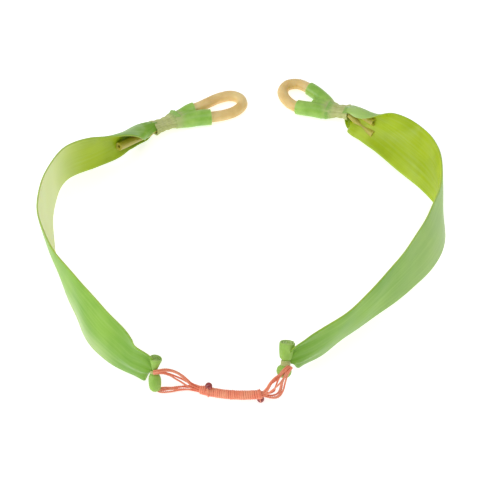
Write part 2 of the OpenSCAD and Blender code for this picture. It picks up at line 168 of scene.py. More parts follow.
# Cord routes from the serving to the roll's waist: x, y, z, spread, share of the way
CORD_ROUTES = {
    "left": (
        ((-0.0187, -0.083, 0.00195, 1, 0), (-0.022, -0.0819, 0.0028, 1.1, 0),
         (-0.0252, -0.0809, 0.0052, 1.4, 0.1), (-0.0288, -0.0806, 0.0087, 1.5, 0.5),
         (-0.0318, -0.0812, 0.011, 1.2, 0.9), (-0.0338, -0.0817, 0.0115, 1, 1),
         (-0.0356, -0.0818, 0.0112, 1, 1)),
        ((-0.0187, -0.083, 0.00195, 1, 0), (-0.0223, -0.0822, 0.0019, 1.1, 0),
         (-0.0265, -0.0824, 0.0018, 1.3, 0.3), (-0.0304, -0.083, 0.0014, 1.2, 0.7),
         (-0.0336, -0.083, 0.0011, 1, 1), (-0.036, -0.0802, 0.0024, 1, 1),
         (-0.0364, -0.078, 0.006, 1, 1), (-0.0356, -0.0777, 0.0093, 1, 1))),
    "right": (
        ((0.0071, -0.08735, 0.005, 1, 0), (0.0086, -0.0862, 0.0062, 1.2, 0.1),
         (0.0106, -0.0845, 0.0083, 1.3, 0.4), (0.0128, -0.0824, 0.0092, 1, 0.8),
         (0.0146, -0.08, 0.0098, 1, 1), (0.0162, -0.0782, 0.0099, 0.9, 1)),
        ((0.0071, -0.08735, 0.005, 1, 0), (0.0096, -0.0873, 0.0039, 1.1, 0.1),
         (0.0119, -0.0865, 0.0036, 1.3, 0.3), (0.0132, -0.085, 0.0053, 1.1, 0.6),
         (0.0139, -0.0832, 0.0075, 1, 0.9), (0.0154, -0.0807, 0.0091, 1, 1),
         (0.0172, -0.0783, 0.0099, 0.9, 1)))}
# How far each cord of the upper and lower groups strays from its route half way: across, up
STRAYS = {
    "left": (((0.0003, -0.0007), (0, 0.0014), (0.0002, 0.0004), (-0.0006, -0.0012)),
             ((0.0005, 0.0002), (-0.0006, 0.0006), (0.0001, 0.001), (-0.0008, -0.0001))),
    "right": (((0.0007, 0.0002), (0, 0.0008), (-0.0009, 0), (0.0012, 0.0004)),
              ((-0.0014, 0.0006), (0.0003, 0.0009), (0.0005, 0), (-0.0006, -0.0005)))}
# Where a group of four cords sits across and above its route, in the serving and at the roll
RING_ANGLES = (157.5, 112.5, 67.5, 22.5)
PACK = ((-0.0004, -0.0004), (-0.0004, 0.0004), (0.0004, 0.0004), (0.0004, -0.0004))
# The share of the serving's arc that each side's cords start at, hidden inside it
CORD_STARTS = {"left": 0.4, "right": 0.32}
# Where the strip's end wraps each tube leg: distances along the leg, and the wrap's thickness
WRAP_SPANS = {"left": ((0.0085, 0.021), (0.0085, 0.0255)),
              "right": ((0.0062, 0.0225), (0.0062, 0.0222))}
WRAP_WALLS = {"left": (0.00066, 0.0012), "right": (0.00066, 0.0009)}
# How far the web of latex reaches up between the two legs
WEB_LENGTHS = {"left": 0.0128, "right": 0.0117}
WEB_RINGS = 24


# ---- curves and frames ----
def unit(v):
    """Vectors of length 1."""
    return v / np.linalg.norm(v, axis=-1, keepdims=True)


def sample(rows, spacing, ease=0):
    """Rows every spacing metres along a smooth curve through the stations; ease smooths it."""
    rows = np.array(rows, float)
    gaps = np.linalg.norm(np.diff(rows[:, :3], axis=0), axis=1)
    place = np.concatenate([[0], np.cumsum(gaps)])
    slopes = np.gradient(rows, place, axis=0)
    at = np.linspace(0, place[-1], max(3, round(place[-1] / spacing) + 1))
    k = np.clip(np.searchsorted(place, at, side="right") - 1, 0, len(gaps) - 1)
    gap = gaps[k][:, None]
    t = (at - place[k])[:, None] / gap
    out = ((2 * t**3 - 3 * t**2 + 1) * rows[k] + (t**3 - 2 * t**2 + t) * gap * slopes[k]
           + (3 * t**2 - 2 * t**3) * rows[k + 1] + (t**3 - t**2) * gap * slopes[k + 1])
    for _ in range(ease):
        out[1:-1] = (out[:-2] + 2 * out[1:-1] + out[2:]) / 4
    return out


def lengths(points):
    """Distance along a line of points, from its first point to each."""
    steps = np.linalg.norm(np.diff(points, axis=0), axis=1)
    return np.concatenate([[0], np.cumsum(steps)])


def frames(points):
    """(tangents, across, up) along a line of points."""
    along = unit(np.gradient(points, axis=0))
    across = unit(np.cross(along, UP))
    return along, across, np.cross(across, along)


def steady_frames(points, first_up=UP):
    """Frames that don't spin about the line."""
    along = unit(np.gradient(points, axis=0))
    ups = [unit(first_up - along[0] * (first_up @ along[0]))]
    for t in along[1:]:
        ups.append(unit(ups[-1] - t * (ups[-1] @ t)))
    ups = np.array(ups)
    return along, np.cross(along, ups), ups


def soft_step(x, low, high):
    """0 at low, 1 at high."""
    t = np.clip((x - low) / (high - low), 0, 1)
    return t * t * (3 - 2 * t)


# ---- meshes ----
def quads(count, n, closed):
    """Faces between rings of n points each."""
    i, j = np.meshgrid(np.arange(count if closed else count - 1), np.arange(n), indexing="ij")
    a, b, k = i * n, ((i + 1) % count) * n, (j + 1) % n
    return np.stack([a + j, a + k, b + k, b + j], axis=-1).reshape(-1, 4).tolist()


def ladder(first, n):
    """Faces that close one ring, joining each point to the one across from it."""
    return [[first + j, first + j + 1, first + n - 2 - j, first + n - 1 - j]
            for j in range(n // 2 - 1)]


def piece(name, rings, material, closed=False, uv=None, paint=None):
    """A mesh object skinned over rings of points, closed at its ends or joined end to end."""
    rings = np.array(rings, float)
    count, n = rings.shape[:2]
    faces = quads(count, n, closed)
    if not closed:
        faces += ladder(0, n) + ladder((count - 1) * n, n)
    return mesh_object(name, rings.reshape(-1, 3), faces, material, uv, paint)


def smooth_shading(work):
    """Faces outwards and smooth, with sharp edges where they fold."""
    bmesh.ops.recalc_face_normals(work, faces=work.faces)
    for face in work.faces:
        face.smooth = True
    for edge in work.edges:
        edge.smooth = edge.calc_face_angle(0) < SMOOTH_LIMIT


def blank_paint(count, sides):
    """Black, solid paint for rings of points."""
    paint = np.zeros((count, sides, 4))
    paint[..., 3] = 1
    return paint


def oval_rings(points, across, up, half_width, half_height, around):
    """Oval rings about a line of points."""
    return (points[:, None] + across[:, None] * (half_width * np.cos(around))[..., None]
            + up[:, None] * (half_height * np.sin(around))[..., None])


def mesh_object(name, points, faces, material, uv=None, paint=None):
    """An object out of points and faces, with its own map and paint."""
    mesh = bpy.data.meshes.new(name)
    mesh.from_pydata(points.tolist(), [], faces)
    if paint is not None:
        colours = mesh.color_attributes.new("paint", "FLOAT_COLOR", "POINT")
        colours.data.foreach_set("color", np.array(paint, np.float32).reshape(-1))
    if uv is not None:
        layer = mesh.uv_layers.new(name="UVMap")
        loops = np.zeros(len(mesh.loops), int)
        mesh.loops.foreach_get("vertex_index", loops)
        layer.data.foreach_set("uv", np.array(uv, np.float32).reshape(-1, 2)[loops].reshape(-1))
    work = bmesh.new()
    work.from_mesh(mesh)
    smooth_shading(work)
    work.to_mesh(mesh)
    work.free()
    mesh.materials.append(material)
    made = bpy.data.objects.new(name, mesh)
    bpy.context.scene.collection.objects.link(made)
    return made


def joined(name, parts):
    """One object out of several."""
    bpy.ops.object.select_all(action="DESELECT")
    for o in parts:
        o.select_set(True)
    bpy.context.view_layer.objects.active = parts[0]
    bpy.ops.object.join()
    parts[0].name = parts[0].data.name = name
    return parts[0]


def tube_rings(points, radii, sides, lobes=0, depth=0.0, twist=0.0, flat=1.0, first_up=UP):
    """Rings of a tube; lobes, depth and twist wind grooves round it."""
    _, across, up = steady_frames(points, np.array(first_up, float))
    around = np.linspace(0, 2 * math.pi, sides, endpoint=False)
    turn = lengths(points)[:, None] * twist
    r = np.broadcast_to(np.array(radii, float).reshape(-1, 1), (len(points), sides))
    r = r * (1 - depth + depth * np.cos(lobes * (around - turn))) if lobes else r
    return (points[:, None] + across[:, None] * (r * np.cos(around))[..., None]
            + up[:, None] * (r * flat * np.sin(around))[..., None])


def pipe_rings(points, radii, sides, bore_share, first_up=UP):
    """Closed run of rings: out along the skin and back along the bore, with soft rims."""
    outer = tube_rings(points, radii, sides, first_up=first_up)
    inner = tube_rings(points, np.array(radii) * bore_share, sides, first_up=first_up)
    along = unit(np.gradient(points, axis=0))
    rim = np.array(radii)[[0, -1]] * 0.1
    middle = [(outer[k] * 0.93 + inner[k] * 0.07) - e * along[k] * rim[k]
              for k, e in ((0, 1), (-1, -1))]
    return np.concatenate([[middle[0]], outer, [middle[1]], inner[::-1]])


# ---- materials ----
def srgb(r, g, b):
    """Linear RGBA of a colour given as 0 to 255."""
    c = [x / 255 for x in (r, g, b)]
    return [x / 12.92 if x <= 0.04045 else ((x + 0.055) / 1.055) ** 2.4 for x in c] + [1.0]


class Look:
    """A material being made: a Principled shader and the nodes that lead into it."""

    def __init__(self, name, **sockets):
        self.material = bpy.data.materials.new(name)
        self.material.use_nodes = True
        self.tree = self.material.node_tree
        self.shader = self.tree.nodes["Principled BSDF"]
        for key, value in sockets.items():
            self.shader.inputs[key.replace("_", " ")].default_value = value

    def node(self, kind, **values):
        made = self.tree.nodes.new(kind)
        for key, value in values.items():
            setattr(made, key, value)
        return made

    def link(self, out, into):
        self.tree.links.new(out, into)

    def coordinates(self, scale=(1, 1, 1), kind="Object"):
        source = self.node("ShaderNodeTexCoord")
        mapping = self.node("ShaderNodeMapping")
        mapping.inputs["Scale"].default_value = scale
        self.link(source.outputs[kind], mapping.inputs["Vector"])
        return mapping.outputs["Vector"]

    def noise(self, where, scale, detail=3.0, rough=0.55):
        made = self.node("ShaderNodeTexNoise")
        made.inputs["Scale"].default_value = scale
        made.inputs["Detail"].default_value = detail
        made.inputs["Roughness"].default_value = rough
        self.link(where, made.inputs["Vector"])
        return made.outputs["Fac"]

    def ramp(self, value, low, high, start=0.0, end=1.0):
        made = self.node("ShaderNodeMapRange")
        for key, x in (("From Min", low), ("From Max", high), ("To Min", start), ("To Max", end)):
            made.inputs[key].default_value = x
        self.link(value, made.inputs["Value"])
        return made.outputs["Result"]

    def mix(self, share, first, second, how="MIX"):
        """Mixes two colours, each a colour or a socket."""
        made = self.node("ShaderNodeMix", data_type="RGBA", blend_type=how)
        for value, into in ((share, made.inputs[0]), (first, made.inputs[6]),
                            (second, made.inputs[7])):
            if isinstance(value, bpy.types.NodeSocket):
                self.link(value, into)
            else:
                into.default_value = value
        return made.outputs[2]

    def times(self, first, second):
        made = self.node("ShaderNodeMath", operation="MULTIPLY")
        self.link(first, made.inputs[0])
        if isinstance(second, bpy.types.NodeSocket):
            self.link(second, made.inputs[1])
        else:
            made.inputs[1].default_value = second
        return made.outputs[0]

    def paint(self):
        """The red, green, blue and alpha of the mesh's own paint."""
        source = self.node("ShaderNodeAttribute", attribute_name="paint")
        parts = self.node("ShaderNodeSeparateColor")
        self.link(source.outputs["Color"], parts.inputs["Color"])
        return list(parts.outputs)[:3] + [source.outputs["Alpha"]]

    def colour(self, socket):
        self.link(socket, self.shader.inputs["Base Color"])

    def bump(self, height, strength, distance):
        made = self.node("ShaderNodeBump")
        made.inputs["Strength"].default_value = strength
        made.inputs["Distance"].default_value = distance
        self.link(height, made.inputs["Height"])
        self.link(made.outputs["Normal"], self.shader.inputs["Normal"])

    def rough(self, value, low, high):
        self.link(self.ramp(value, 0.3, 0.7, low, high), self.shader.inputs["Roughness"])


def strip_latex():
    """Green sheet latex: paint red is the inner face, green the cut edge, paler as a painted
    highlight, blue the painted shade in the gathers and alpha the painted light: a glow and pale
    reflections."""
    look = Look("strip_latex", Specular_IOR_Level=0.28, Subsurface_Weight=0.35,
                Subsurface_Scale=0.0015, Coat_Weight=0.06, Coat_Roughness=0.3)
    look.shader.inputs["Subsurface Radius"].default_value = (0.8, 1.0, 0.25)
    inner, edge, gather_shade, painted_light = look.paint()
    cloud = look.noise(look.coordinates(), 60)
    streak = look.noise(look.coordinates((28, 800, 1), "UV"), 1.0, 4)
    fine = look.noise(look.coordinates(), 2600, 4)
    outer = look.mix(look.ramp(cloud, 0.35, 0.65), srgb(118, 170, 40), srgb(138, 184, 58))
    inside = look.mix(look.ramp(cloud, 0.35, 0.65), srgb(162, 184, 10), srgb(182, 202, 30))
    # Painted light: a pale glow on the inner face and pale painted reflections on the outer face.
    pale = look.mix(inner, srgb(182, 206, 138), srgb(226, 232, 176))
    colour = look.mix(inner, outer, inside)
    colour = look.mix(painted_light, colour, pale)
    colour = look.mix(look.ramp(streak, 0.42, 0.75, 0, 0.2), colour, srgb(206, 226, 140))
    # The cut edges, paler as a painted highlight.
    colour = look.mix(look.times(edge, 0.6), colour, srgb(172, 190, 92))
    # Painted shade in the gathers, towards the roll and the neck, and inside the left funnel.
    painted_shade_colour = look.mix(inner, srgb(84, 136, 18), srgb(108, 138, 0))
    colour = look.mix(look.times(gather_shade, 0.6), colour, painted_shade_colour)
    look.colour(colour)
    look.rough(cloud, 0.32, 0.46)
    look.bump(fine, 0.12, 0.0001)
    return look.material


def rolled_latex():
    """Several turns of the strip, duller in fine patches where they have been handled, and paler
    along the cut rims and the last turn's end as a painted highlight.
    """
    look = Look("rolled_latex", Specular_IOR_Level=0.4, Subsurface_Weight=0.2,
                Subsurface_Scale=0.0015)
    look.shader.inputs["Subsurface Radius"].default_value = (0.8, 1.0, 0.3)
    cloud = look.noise(look.coordinates(), 160)
    fine = look.noise(look.coordinates((1, 1, 0.35)), 1500, 5)
    rim_highlight = look.paint()[1]
    colour = look.mix(look.ramp(cloud, 0.35, 0.65), srgb(140, 184, 70), srgb(162, 202, 92))
    colour = look.mix(look.ramp(fine, 0.5, 0.75, 0, 0.2), colour, srgb(170, 196, 128))
    # Paler at the cut rims and the last turn's end, a painted highlight.
    colour = look.mix(look.times(rim_highlight, 0.45), colour, srgb(186, 208, 132))
    look.colour(colour)
    look.rough(fine, 0.42, 0.6)
    look.bump(fine, 0.2, 0.0001)
    return look.material


def wrap_latex():
    """The stretched, glossier strip end."""
    look = Look("wrap_latex", Specular_IOR_Level=0.5, Subsurface_Weight=0.2,
                Subsurface_Scale=0.0012, Coat_Weight=0.2, Coat_Roughness=0.2)
    look.shader.inputs["Subsurface Radius"].default_value = (0.8, 1.0, 0.3)
    cloud = look.noise(look.coordinates(), 220)
    pale, edge = look.paint()[:2]
    fine = look.noise(look.coordinates(), 2400, 4)
    colour = look.mix(look.ramp(cloud, 0.35, 0.65), srgb(138, 188, 66), srgb(164, 206, 92))
    colour = look.mix(pale, colour, srgb(186, 196, 128))
    # Paler along the cut ends, as a painted highlight.
    colour = look.mix(look.times(edge, 0.5), colour, srgb(190, 222, 140))
    look.colour(colour)
    look.rough(cloud, 0.3, 0.42)
    look.bump(fine, 0.12, 0.0001)
    return look.material


def binding_latex():
    """Pale latex stretched thin along the neck."""
    look = Look("binding_latex", Specular_IOR_Level=0.45, Subsurface_Weight=0.3,
                Subsurface_Scale=0.001)
    look.shader.inputs["Subsurface Radius"].default_value = (0.9, 1.0, 0.5)
    streak = look.noise(look.coordinates((60, 2600, 1), "UV"), 1.0, 4)
    fine = look.noise(look.coordinates(), 2600, 4)
    green = look.paint()[0]
    colour = look.mix(look.ramp(streak, 0.35, 0.65), srgb(172, 180, 104), srgb(208, 212, 150))
    colour = look.mix(green, colour, srgb(146, 192, 92))
    look.colour(colour)
    look.rough(fine, 0.4, 0.52)
    look.bump(streak, 0.35, 0.0001)
    return look.material


def tube_latex():
    """Amber latex tube, a little clearer where it is thin, with painted shade, tinted green, on its
    tails inside the strip.
    """
    look = Look("tube_latex", Specular_IOR_Level=0.5, Subsurface_Weight=0.45,
                Subsurface_Scale=0.003, Coat_Weight=0.15, Coat_Roughness=0.25)
    look.shader.inputs["Subsurface Radius"].default_value = (1.0, 0.75, 0.4)
    cloud = look.noise(look.coordinates(), 130)
    speck = look.noise(look.coordinates(), 1800, 4)
    tail_shade = look.paint()[0]
    colour = look.mix(look.ramp(cloud, 0.35, 0.65), srgb(226, 190, 118), srgb(242, 212, 150))
    colour = look.mix(look.ramp(speck, 0.58, 0.8, 0, 0.25), colour, srgb(208, 160, 88))
    # Painted shade on the tails inside the strip's mouth, tinted green as under the latex.
    colour = look.mix(tail_shade, colour, srgb(186, 176, 72))
    look.colour(colour)
    look.rough(cloud, 0.32, 0.44)
    look.bump(speck, 0.15, 0.0001)
    return look.material


def twisted_cord(name, dark, middle, pale, scale):
    """Dyed cord: darker in its grooves as painted shade, with paler fibres speckled as painted
    highlights; paint green is the groove shade.
    """
    look = Look(name, Specular_IOR_Level=0.3, Sheen_Weight=0.25, Sheen_Roughness=0.4)
    fibre = look.noise(look.coordinates((1, 1, 1)), scale, 5, 0.65)
    cloud = look.noise(look.coordinates(), 260)
    groove_shade = look.paint()[1]
    colour = look.mix(look.ramp(cloud, 0.35, 0.65), middle, pale)
    # Paler fibres speckled at random, as painted highlights.
    colour = look.mix(look.ramp(fibre, 0.52, 0.72, 0, 0.5), colour, srgb(253, 206, 170))
    # Painted shade in the grooves of the twist.
    colour = look.mix(groove_shade, colour, dark)
    look.colour(colour)
    look.rough(fibre, 0.5, 0.7)
    look.bump(fibre, 0.4, 0.0001)
    return look.material


def tie_thread():
    """Waxed thread, darker and greenish in the grooves of its twist, as painted shade."""
    look = Look("tie_thread", Specular_IOR_Level=0.35, Sheen_Weight=0.2)
    fibre = look.noise(look.coordinates(), 3000, 5, 0.65)
    groove_shade = look.paint()[1]
    colour = look.mix(look.ramp(fibre, 0.4, 0.65), srgb(196, 200, 120), srgb(222, 222, 158))
    # Painted shade in the grooves of the twist, greenish.
    look.colour(look.mix(groove_shade, colour, srgb(140, 150, 78)))
    look.rough(fibre, 0.45, 0.6)
    look.bump(fibre, 0.4, 0.0001)
    return look.material


def bead_gloss():
    """Dark red glossy bead with a faint swirl."""
    look = Look("bead_gloss", Specular_IOR_Level=0.6, Coat_Weight=0.7, Coat_Roughness=0.06)
    swirl = look.noise(look.coordinates((1, 1, 2.5)), 700, 4)
    colour = look.mix(look.ramp(swirl, 0.35, 0.68), srgb(120, 16, 22), srgb(176, 40, 38))
    look.colour(colour)
    look.rough(swirl, 0.12, 0.24)
    look.bump(swirl, 0.08, 0.0001)
    return look.material


# ---- camera, light and floor ----
def camera():
    """The photograph's view: a long lens, looking down at the object."""
    lens = bpy.data.cameras.new("camera")
    lens.lens = 100
    lens.sensor_width = 36
    lens.clip_start = 0.01
    made = bpy.data.objects.new("camera", lens)
    made.location = CAMERA_PLACE
    made.rotation_euler = (CAMERA_TILT, 0, 0)
    bpy.context.scene.collection.objects.link(made)
    bpy.context.scene.camera = made


def soft_light(name, place, size, power):
    """A round soft light that faces the origin."""
    light = bpy.data.lights.new(name, "AREA")
    light.shape = "DISK"
    light.size = size
    light.energy = power
    made = bpy.data.objects.new(name, light)
    made.location = place
    made.rotation_euler = Vector(place).to_track_quat("Z", "Y").to_euler()
    bpy.context.scene.collection.objects.link(made)


def studio():
    """Even white light, two soft lamps and a pale floor."""
    scene = bpy.context.scene
    scene.view_settings.view_transform = "Standard"
    scene.world = bpy.data.worlds.new("studio")
    scene.world.use_nodes = True
    background = scene.world.node_tree.nodes["Background"].inputs
    background["Color"].default_value = (1, 1, 1, 1)
    background["Strength"].default_value = 0.58
    soft_light("key", (-0.85, -0.3, 0.5), 0.7, 3.2)
    soft_light("top", (0.1, -0.3, 1.0), 0.6, 1.4)
    mesh = bpy.data.meshes.new("floor")
    mesh.from_pydata([(-3, -3, 0), (3, -3, 0), (3, 3, 0), (-3, 3, 0)], [], [(0, 1, 2, 3)])
    look = Look("floor", Roughness=0.9, Specular_IOR_Level=0.1, Emission_Strength=0.6)
    look.shader.inputs["Base Color"].default_value = (0.8, 0.8, 0.8, 1)
    look.shader.inputs["Emission Color"].default_value = (1, 1, 1, 1)
    mesh.materials.append(look.material)
    floor = bpy.data.objects.new("floor", mesh)
    floor.location.z = FLOOR_HEIGHT
    scene.collection.objects.link(floor)


# ---- the corded span ----
CHORD = SERVING_RIGHT - SERVING_LEFT
HALF_ANGLE = math.asin(np.linalg.norm(CHORD) / 2 / SERVING_ARC_RADIUS)
CENTRE_DEPTH = SERVING_ARC_RADIUS * math.cos(HALF_ANGLE)
CHORD_X = CHORD / np.linalg.norm(CHORD)
CHORD_Y = unit(np.cross(UP, CHORD_X))
CHORD_Z = np.cross(CHORD_X, CHORD_Y)


def on_serving(share):
    """(place, along, across, up) at a share of the serving's arc."""
    turn = (share - 0.5) * 2 * HALF_ANGLE
    along = math.cos(turn) * CHORD_X + math.sin(turn) * CHORD_Y
    across = -math.sin(turn) * CHORD_X + math.cos(turn) * CHORD_Y
    centre = (SERVING_LEFT + SERVING_RIGHT) / 2 + CENTRE_DEPTH * CHORD_Y
    return centre - SERVING_ARC_RADIUS * across, along, across, CHORD_Z


def groove_shade_paint(count, sides, lobes, twist, points):
    """Paint that is green in the grooves of a lobed tube, for painted shade there."""
    around = np.linspace(0, 2 * math.pi, sides, endpoint=False)
    turn = lengths(points)[:, None] * twist
    groove_shade = np.clip(-np.cos(lobes * (around - turn)), 0, 1) ** 1.5 * 0.6
    paint = blank_paint(count, sides)
    paint[..., 1] = groove_shade
    return paint.reshape(-1, 4)


def cord(side, number):
    """One cord, from the middle of the serving out to the roll's waist."""
    upper = number <= CORDS_IN_GROUP
    k = (number - 1) % CORDS_IN_GROUP
    flip = 1 if upper else -1
    route = CORD_ROUTES[side][0 if upper else 1]
    end_share = 0 if side == "left" else 1
    inside = [(*on_serving(x)[0], 1, 0) for x in np.linspace(CORD_STARTS[side], end_share, 6)[:-1]]
    rows = sample(inside + list(route), 0.0003)
    _, across, up = frames(rows[:, :3])
    angle = math.radians(RING_ANGLES[k])
    ring = np.array([math.cos(angle), flip * math.sin(angle)]) * CORD_RING_RADIUS
    packed = np.array([PACK[k][0], PACK[k][1] * flip])
    off = ((1 - rows[:, 4:5]) * ring + rows[:, 4:5] * packed) * rows[:, 3:4]
    free = lengths(rows[:, :3])
    begin = free[int(np.argmin(np.linalg.norm(rows[:, :3] - np.array(route[0][:3]), axis=1)))]
    stray = np.sin(math.pi * np.clip((free - begin) / (free[-1] - begin), 0, 1))[:, None] ** 2
    ripple = rng.normal(0, 0.00012, (9, 2)) * stray.max()
    ripple = np.stack([np.interp(free, np.linspace(begin, free[-1], 9), r) for r in ripple.T], 1)
    off = off + stray * (np.array(STRAYS[side][0 if upper else 1][k]) + ripple)
    points = rows[:, :3] + across * off[:, :1] + up * off[:, 1:]
    for _ in range(6):
        points[1:-1] = (points[:-2] + 2 * points[1:-1] + points[2:]) / 4
    lobes, twist, sides = 3, 2600.0, 15
    rings = tube_rings(points, [CORD_DIAMETER / 2 * 1.06], sides, lobes, 0.13, twist)
    made = piece(f"{side}_cord_strand_{number}", rings, cord_look,
                 paint=groove_shade_paint(len(points), sides, lobes, twist, points))
    parts = [f"{side}_cord_{number}"]
    if side == "left" and number == 1:
        parts.append("core_cords")
    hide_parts(*parts)
    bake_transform(made)


def serving():
    """Thread wound closely round the cords."""
    steps, sides = 36, 10
    turns = np.linspace(0, SERVING_TURNS, SERVING_TURNS * steps + 1)
    jitter = np.interp(turns, np.arange(SERVING_TURNS + 1), rng.normal(0, 0.00004, SERVING_TURNS + 1))
    points, outs = [], []
    for t, off in zip(turns, jitter):
        place, along, across, up = on_serving(0.015 + 0.97 * t / SERVING_TURNS)
        angle = 2 * math.pi * t
        out = across * math.cos(angle) + up * math.sin(angle)
        tuck = 0.00035 * (1 - min(1, 2.5 * t, 2.5 * (SERVING_TURNS - t)))
        points.append(place + out * (SERVING_THREAD_RADIUS - tuck + abs(off)) + along * off)
        outs.append((out, along))
    points = np.array(points)
    around = np.linspace(0, 2 * math.pi, sides, endpoint=False)
    rings = []
    for p, (out, along), t in zip(points, outs, turns):
        ply = 1 + 0.1 * np.cos(2 * around + 9 * 2 * math.pi * t)
        rings.append(p + np.outer(0.00032 * ply * np.cos(around), out)
                     + np.outer(0.00043 * ply * np.sin(around), along))
    # Painted shade on the thread everywhere but each turn's outer crest: between the turns and
    # against the cords.
    groove_shade = np.clip(1 - 1.6 * np.cos(around), 0, 1) * 0.75
    paint = blank_paint(len(points), sides)
    paint[..., 1] = groove_shade
    made = piece("serving_thread", rings, serving_look, paint=paint.reshape(-1, 4))
    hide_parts("serving")
    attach(made, "bridge")


def bead_axes(share, tilt):
    """(place, along, y, z) where a bead sits; tilt turns it round the serving, in degrees."""
    place, along, across, up = on_serving(share)
    turn = math.radians(tilt)
    y = math.cos(turn) * across + math.sin(turn) * up
    z = -math.sin(turn) * across + math.cos(turn) * up
    return place, along, y, z


def bead(side, share, tilt):
    """A bored bead, a little flatter round its bore, stitched on with a turn of thread."""
    place, x, y, z = bead_axes(share, tilt)
    centre = place + z * BEAD_REACH
    bore, radius = BEAD_BORE / 2, BEAD_DIAMETER / 2
    first = math.asin(bore / radius)
    profile = [(radius * math.sin(a), radius * math.cos(a) * 0.97)
               for a in np.linspace(first, math.pi - first, 25)]
    low = profile[-1][1]
    profile += [(bore * 0.92, low * f) for f in (0.9, 0.3, -0.3, -0.9)]
    turns = np.linspace(0, 2 * math.pi, 40, endpoint=False)
    rings = [[centre + y * h + (x * math.cos(a) + z * math.sin(a)) * r for a in turns]
             for r, h in profile]
    made = piece(f"{side}_nocking_bead", rings, bead_look, closed=True)
    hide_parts(f"{side}_bead")
    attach(made, "bridge")
    near = 0.00176 + STITCH_DIAMETER / 2
    half = [(0, BEAD_REACH), (0.0011, BEAD_REACH), (0.0019, BEAD_REACH - 0.0009),
            (near + 0.0001, 0.0006), (near * 0.8, -near * 0.68), (0, -near)]
    loop = half + [(-a, b) for a, b in half[-2:0:-1]]
    line = np.array([place + y * a + z * b for a, b in loop + loop[:1]])
    rows = sample(line, 0.00012, ease=3)[:-1]
    sides, lobes, twist = 12, 3, 4200.0
    along = unit(np.roll(rows, -1, axis=0) - np.roll(rows, 1, axis=0))
    around = np.linspace(0, 2 * math.pi, sides, endpoint=False)
    turn = lengths(rows)[:, None] * twist
    r = STITCH_DIAMETER / 2 * (0.92 + 0.08 * np.cos(lobes * (around - turn)))
    side_way = np.cross(along, x)
    rings = (rows[:, None] + x * (r * np.cos(around))[..., None]
             + side_way[:, None] * (r * np.sin(around))[..., None])
    stitch = piece(f"{side}_bead_thread", rings, serving_look, closed=True,
                   paint=groove_shade_paint(len(rows), sides, lobes, twist, rows))
    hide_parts(f"{side}_bead_stitch")
    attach(stitch, "bridge")


# ---- the strips ----
def painted_light_patches(side, run, level, inner):
    """Painted light: a pale glow through the left bend's inner face, and pale painted reflections on
    the outer face, along its lower edge and, on the right strip, along its middle and its end.
    """
    if side == "left":
        bend = soft_step(run, 0.062, 0.08) * soft_step(run, 0.142, 0.116)
        edge = soft_step(run, 0.012, 0.03) * soft_step(run, 0.085, 0.055)
        return 0.85 * inner * bend + (1 - inner) * edge * soft_step(level, 0.0, -0.45) * 0.8
    # Painted reflection along the right strip's outer face, in its middle run; flap is the same near
    # the neck.
    painted_sheen = soft_step(run, 0.045, 0.09) * soft_step(run, 0.13, 0.1)
    flap = soft_step(run, 0.152, 0.168)
    return (1 - inner) * np.minimum(1, 0.45 * painted_sheen + 0.15 * soft_step(level, 0.1, -0.5) + 0.5 * flap)


def middle_sum(rates):
    """Running sums across each row, zero at its middle."""
    sums = np.cumsum((rates[:, 1:] + rates[:, :-1]) / 2, axis=1)
    sums = np.concatenate([np.zeros((len(rates), 1)), sums], axis=1)
    return sums - sums[:, [rates.shape[1] // 2]]


